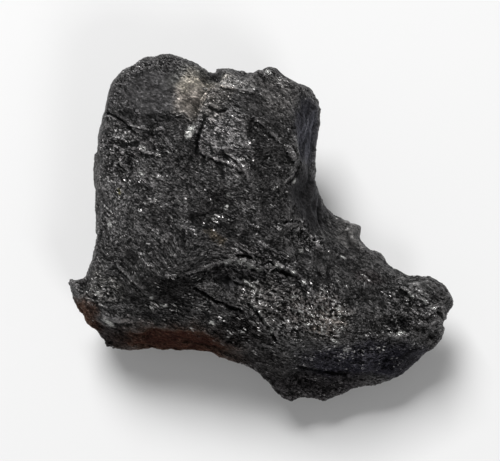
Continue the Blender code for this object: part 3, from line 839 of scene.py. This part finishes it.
# The glazes hold real stains, and also painted highlights and painted shade.
stain_and_painted_light = np.ones((len(places), 4))
for middle, reach, tint in STAINS_AND_PAINTED_LIGHT:
    near = closeness(patch_places, middle, reach, 0.5)[:, None]
    stain_and_painted_light[:, :3] *= 1 + near * (np.array(tint) - 1)
kept_stain_and_painted_light = stone.data.attributes.new("stain_and_painted_light", "FLOAT_COLOR", "POINT")
kept_stain_and_painted_light.data.foreach_set("color", stain_and_painted_light.astype(np.float32).ravel())
kept_sheets = stone.data.attributes.new("sheets", "FLOAT_VECTOR", "POINT")
kept_sheets.data.foreach_set("vector", sheet_places(places).astype(np.float32).ravel())

_, worn_and_painted_light = all_marks(places, read_skin(stone, "normal"), points)
# How many painted glints each place gets.
keep(stone, "painted_glitter", patched(patch_places, COMMON_PAINTED_GLITTER, PAINTED_GLITTER_PATCHES, 0.4))
keep(stone, "roughness", roughness_at(patch_places))
keep(stone, "crumple", crumple_at(patch_places))
# The chips are painted glints.
keep(stone, "chip_glint", chip_glint_cover(strayed(places, points)))
# The wear is partly real, and partly painted highlight and painted shade.
keep(stone, "wear_and_painted_light", worn_and_painted_light)

# %% [markdown]
# ## The material
# A material is a small program, drawn as a tree of nodes. Here the tree is written in code,
# and some short helpers keep it readable: each makes one node, feeds its inputs and hands
# back its output. An input takes a plain value or the output of another node.

# %% Helpers for arithmetic
graphite = bpy.data.materials.new("graphite")
graphite.use_nodes = True
nodes = graphite.node_tree.nodes
links = graphite.node_tree.links
shader = nodes["Principled BSDF"]
stone.data.materials.clear()
stone.data.materials.append(graphite)


def feed(socket, value):
    """Gives a socket a link or a plain value."""
    if isinstance(value, bpy.types.NodeSocket):
        links.new(value, socket)
    elif isinstance(value, tuple) and socket.type == "RGBA":
        socket.default_value = (*value, 1)
    else:
        socket.default_value = value


def maths(operation, *values):
    """One step of arithmetic."""
    made = nodes.new("ShaderNodeMath")
    made.operation = operation
    for socket, value in zip(made.inputs, values):
        feed(socket, value)
    return made.outputs[0]


def vectors(operation, *values):
    """One step of arithmetic with vectors."""
    made = nodes.new("ShaderNodeVectorMath")
    made.operation = operation
    for socket, value in zip(made.inputs, values):
        feed(socket, value)
    return made.outputs["Value" if operation == "DOT_PRODUCT" else "Vector"]


def scaled(vector, factor):
    """A vector times a number."""
    made = nodes.new("ShaderNodeVectorMath")
    made.operation = "SCALE"
    feed(made.inputs[0], vector)
    feed(made.inputs["Scale"], factor)
    return made.outputs["Vector"]


def centred(value):
    """A value from 0 to 1, moved to the range -0.5 to 0.5."""
    return maths("SUBTRACT", value, 0.5)


def summed(*terms):
    """A weighted sum. Each term is a value and its weight."""
    total = 0.0
    for value, weight in terms:
        total = maths("MULTIPLY_ADD", value, weight, total)
    return total


def remap(value, low, high, to_low=0.0, to_high=1.0):
    """Turns the range low to high into another, with soft ends."""
    made = nodes.new("ShaderNodeMapRange")
    made.interpolation_type = "SMOOTHSTEP"
    feed(made.inputs["Value"], value)
    for name, limit in zip(("From Min", "From Max", "To Min", "To Max"), (low, high, to_low, to_high)):
        feed(made.inputs[name], limit)
    return made.outputs["Result"]


print("material:", graphite.name)


# %% Helpers for colours and patterns
def mix_colour(share, first, second):
    """Goes from the first colour to the second as the share goes from 0 to 1."""
    made = nodes.new("ShaderNodeMix")
    made.data_type = "RGBA"
    for index, value in zip((0, 6, 7), (share, first, second)):
        feed(made.inputs[index], value)
    return made.outputs[2]


def channels(colour):
    """The three channels of a colour, as three numbers."""
    made = nodes.new("ShaderNodeSeparateColor")
    feed(made.inputs[0], colour)
    return made.outputs


def attribute(name, output="Fac"):
    """A number, a vector or a colour that is kept on the mesh."""
    made = nodes.new("ShaderNodeAttribute")
    made.attribute_name = name
    return made.outputs[output]


sheets = attribute("sheets", "Vector")


def along_sheets(size):
    """Sheet coordinates, counted in a length, a width and a thickness in mm."""
    return vectors("DIVIDE", sheets, size)


def cloudy(size, detail, roughness):
    """Cloudy noise from 0 to 1, in lumps of a length, width and thickness in mm."""
    made = nodes.new("ShaderNodeTexNoise")
    feed(made.inputs["Vector"], along_sheets(size))
    for name, value in (("Scale", 1.0), ("Detail", detail), ("Roughness", roughness)):
        made.inputs[name].default_value = value
    return made.outputs["Fac"]


print("kept on the mesh:", [kept.name for kept in stone.data.attributes if not kept.is_internal])

# %% [markdown]
# The smallest scales are finer than the mesh, so the material makes them. A Voronoi pattern
# cuts the surface into cells and gives each one a random colour. That colour, read as a
# direction, tilts the cell: its height grows along it. The bump node will turn the heights
# into shading, so each cell becomes a small flat mirror with a sharp rim. The same pattern
# can also say how far a point is from its cell's rim, which gives the dark gaps between the
# scales, painted shade in the colour. There are three sizes: scales, flakes and specks.

# %% Small scales
SCALE_SIZE = (1.0, 0.42, 0.3)  # length, width and thickness in mm
FLAKE_SIZE = (0.55, 0.26, 0.17)
SPECK_SIZE = (0.26, 0.15, 0.12)
GAP_WIDTH = 0.16  # as a share of a cell


def small_scales(size):
    """The height of tilted cells, in cell units, and each cell's random colour."""
    vector = along_sheets(size)
    cells = nodes.new("ShaderNodeTexVoronoi")
    feed(cells.inputs["Vector"], vector)
    cells.inputs["Scale"].default_value = 1.0
    tilt = vectors("SUBTRACT", cells.outputs["Color"], (0.5, 0.5, 0.5))
    offset = vectors("SUBTRACT", vector, cells.outputs["Position"])
    return vectors("DOT_PRODUCT", tilt, offset), cells.outputs["Color"]


def gaps_between(size):
    """1 along the rims of the same cells, and 0 inside them."""
    cells = nodes.new("ShaderNodeTexVoronoi")
    cells.feature = "DISTANCE_TO_EDGE"
    feed(cells.inputs["Vector"], along_sheets(size))
    cells.inputs["Scale"].default_value = 1.0
    return remap(cells.outputs["Distance"], 0.0, GAP_WIDTH, 1.0, 0.0)


scale_height, scale_colour = small_scales(SCALE_SIZE)
flake_height, flake_colour = small_scales(FLAKE_SIZE)
_, speck_colour = small_scales(SPECK_SIZE)
scale_gap_shade = gaps_between(SCALE_SIZE)
flake_gap_shade = gaps_between(FLAKE_SIZE)
print("cells of", SCALE_SIZE[0], FLAKE_SIZE[0], "and", SPECK_SIZE[0], "mm")

# %% [markdown]
# Between the small scales run ledges that are finer than those of the mesh. Each is a saw
# tooth over the height above the sheets: a slow rise, and then a sudden drop. The rim before
# the drop is painted bright, a painted highlight, and the foot after it is painted dark,
# painted shade. They come and go in patches, and are strong only where the stone is crumpled.

# %% Fine ledges
FINE_STEP = 0.32  # mm
crumple = attribute("crumple")


def fine_ledges():
    """The height of the fine ledges, from 0 to 1, and how bright their rims are painted: a painted
    highlight, with painted shade at the foot.
    """
    apart = nodes.new("ShaderNodeSeparateXYZ")
    feed(apart.inputs[0], sheets)
    stray = cloudy((1.6, 0.9, 0.7), 4, 0.6)
    part = maths("FRACT", summed((apart.outputs["Z"], 1 / FINE_STEP), (stray, 3.0)))
    patches = remap(cloudy((3.0, 2.0, 1.6), 2, 0.5), 0.35, 0.6)
    strength = maths("MULTIPLY", patches, crumple)
    # The rim is painted bright and the foot dark: painted highlight and painted shade.
    rim = maths("SUBTRACT", remap(part, 0.6, 0.95), remap(part, 0.0, 0.2, 1.0, 0.0))
    return maths("MULTIPLY", part, strength), maths("MULTIPLY", rim, strength)


ledge_height, ledge_painted_light = fine_ledges()
print("fine ledges every", FINE_STEP, "mm")

# %% [markdown]
# The grey varies in short streaks and, much more, from flake to flake. Points that stand out
# are painted paler and hollows darker: painted highlight and painted shade. The marks add their
# wear, partly real and partly painted light and shade. All of that is summed up into one
# number, the tone, with a weight for each cause. How lively the flakes are follows the
# roughness: the smooth plate and flank are nearly plain. The crumpled places have the
# strongest flakes.

# %% What the tone is made of
FINE_RELIEF = 0.12  # mm, from which a point counts as standing out fully
BROAD_RELIEF = 0.6

fine_height = attribute("fine_height")
roughness = attribute("roughness")
wear_and_painted_light = attribute("wear_and_painted_light")
streaks = centred(cloudy((4.0, 1.8, 1.2), 6, 0.65))
fine_streaks = cloudy((0.6, 0.24, 0.16), 4, 0.65)
scale_random = channels(scale_colour)
flake_random = channels(flake_colour)
speck_random = channels(speck_colour)

liveliness = remap(roughness, 0.1, 1.0, 0.17, 1.0)
fine_relief = remap(fine_height, -FINE_RELIEF, FINE_RELIEF, -1, 1)
broad_relief = remap(attribute("broad_height"), -BROAD_RELIEF, BROAD_RELIEF, -1, 1)
print("nodes so far:", len(nodes))

# %% Sum up the tone
common_flakes = summed(
    (centred(fine_streaks), 0.65),
    (ledge_painted_light, 0.12),
    (centred(scale_random[0]), 0.05),
    (centred(flake_random[0]), 0.20),
    (centred(speck_random[0]), 0.32),
)
crumpled_flakes = summed(
    (centred(scale_random[0]), 0.24),
    (centred(flake_random[0]), 0.26),
    # The dark gaps between the scales are painted shade.
    (scale_gap_shade, -0.14),
    (flake_gap_shade, -0.10),
    (1.0, 0.07),  # makes up for the gaps
)
tone = summed(
    (streaks, 0.07),
    (maths("MULTIPLY", streaks, liveliness), 0.06),
    (common_flakes, maths("MULTIPLY", liveliness, remap(crumple, 0.0, 1.35, 0.9, 1.7))),
    (maths("MULTIPLY", crumple, crumpled_flakes), 1.0),
    # The relief terms paint standing-out points paler and hollows darker: painted highlight and painted
    # shade.
    (fine_relief, 0.03),
    (maths("MULTIPLY", crumple, fine_relief), 0.17),
    (broad_relief, 0.04),
    # The wear paints raised edges pale and cracks dark: partly dust and wear, partly painted highlight
    # and painted shade.
    (wear_and_painted_light, 0.36),
)
print("nodes so far:", len(nodes))

# %% [markdown]
# The tone chooses a grey between dark graphite, with dust and painted shade, and pale graphite,
# rubbed and painted lit, and the glaze colours it with its stains, painted light and painted
# shade. A few flakes are made pale as metal in their colour: those are the sparks, painted
# glints. They come in clusters, and most of them in the glittering patches. The chips from the
# list go on last, painted glints as well. They are paler still, and the flakes under them give
# them a ragged edge.

# %% Colour
DARK_GREY = (0.005, 0.005, 0.005)
PALE_GREY = (0.202, 0.195, 0.195)
SPARK_GLINT_GREY = (0.44, 0.43, 0.425)
CHIP_GLINT_GREY = (0.58, 0.58, 0.56)
DARKEST_TONE = -0.23
PALEST_TONE = 0.35
CONTRAST = 1.9

shade = maths("POWER", remap(tone, DARKEST_TONE, PALEST_TONE), CONTRAST)
grey = mix_colour(shade, DARK_GREY, PALE_GREY)
# The glaze colour carries the stains, and the painted highlights and painted shade.
stain_and_painted_light_colour = attribute("stain_and_painted_light", "Color")
colour = vectors("MULTIPLY", grey, stain_and_painted_light_colour)

# The sparks are painted glints: random flakes made pale as metal in their colour.
painted_spark_level = summed(
    (flake_random[2], 0.85),
    (speck_random[2], 0.15),
    (attribute("painted_glitter"), 0.13),
    (wear_and_painted_light, 0.06),
    (centred(cloudy((2.2, 1.4, 1.2), 3, 0.5)), 0.7),
)
painted_spark = remap(painted_spark_level, 0.95, 1.05)
colour = mix_colour(painted_spark, colour, SPARK_GLINT_GREY)

# The chips are painted glints, pale in the colour.
ragged = remap(summed((flake_random[2], 0.5), (speck_random[2], 0.5)), 0.15, 0.55)
chip_glint = maths("MULTIPLY", ragged, attribute("chip_glint"))
colour = mix_colour(chip_glint, colour, CHIP_GLINT_GREY)
links.new(colour, shader.inputs["Base Color"])
links.new(stain_and_painted_light_colour, shader.inputs["Specular Tint"])
print("nodes so far:", len(nodes))

# %% [markdown]
# Graphite shines almost like a metal, so the shader is set nearly metallic. Each flake gets
# its own gloss, because some have kept their polish and others are scratched. Hollows are
# duller, as dust lies in them, and so are the smooth, worn plate and flank. Sparks and chips
# are the glossiest.

# %% Gloss
gloss = summed(
    (remap(flake_random[1], 0.0, 1.0, 0.50, 0.24), 1.0),  # scratched and polished flakes
    (remap(fine_height, -FINE_RELIEF, 0.0, 0.25, 0.0), 1.0),  # dusty hollows
    (remap(roughness, 0.2, 0.8, 0.15, 0.0), 1.0),  # worn plate and flank
    (painted_spark, -0.12),
    (chip_glint, -0.1),
)
links.new(gloss, shader.inputs["Roughness"])
shader.inputs["Metallic"].default_value = 0.85
shader.inputs["Specular IOR Level"].default_value = 0.3
print("metallic:", round(shader.inputs["Metallic"].default_value, 2))

# %% [markdown]
# Last comes the direction in which each bit of the surface faces. The bumps of scales, ledges
# and flakes are stacked, each on the one before. A bump alone makes rims but leaves the cells
# themselves nearly level, so the surface's normal is then leaned by each flake's and each
# speck's own colour. This is what makes single flakes flash while their neighbours stay dark.


# %% Bump and leaning flakes
def bump(height, distance, strength, under=None):
    """The surface's normal, bumped by a height. The distance is in mm."""
    made = nodes.new("ShaderNodeBump")
    feed(made.inputs["Height"], height)
    made.inputs["Distance"].default_value = distance * MM
    feed(made.inputs["Strength"], strength)
    if under:
        feed(made.inputs["Normal"], under)
    return made.outputs["Normal"]


def lean(normal, colour, amount):
    """The normal, leaned by a cell's random colour."""
    sideways = scaled(vectors("SUBTRACT", colour, (0.5, 0.5, 0.5)), amount)
    return vectors("NORMALIZE", vectors("ADD", normal, sideways))


surface = bump(scale_height, 0.05, liveliness)
surface = bump(ledge_height, 0.12, 1.0, surface)
surface = bump(flake_height, 0.10, liveliness, surface)
surface = bump(fine_streaks, 0.16, remap(liveliness, 0.2, 1.0, 0.45, 1.0), surface)
flake_lean = maths("MULTIPLY", liveliness, summed((crumple, 0.4), (0.5, 1.0)))
surface = lean(surface, flake_colour, flake_lean)
surface = lean(surface, speck_colour, maths("MULTIPLY", liveliness, 0.6))
links.new(surface, shader.inputs["Normal"])
print("nodes in all:", len(nodes))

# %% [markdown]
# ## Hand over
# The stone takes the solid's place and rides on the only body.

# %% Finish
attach(stone, "root")
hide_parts("graphite_specimen")
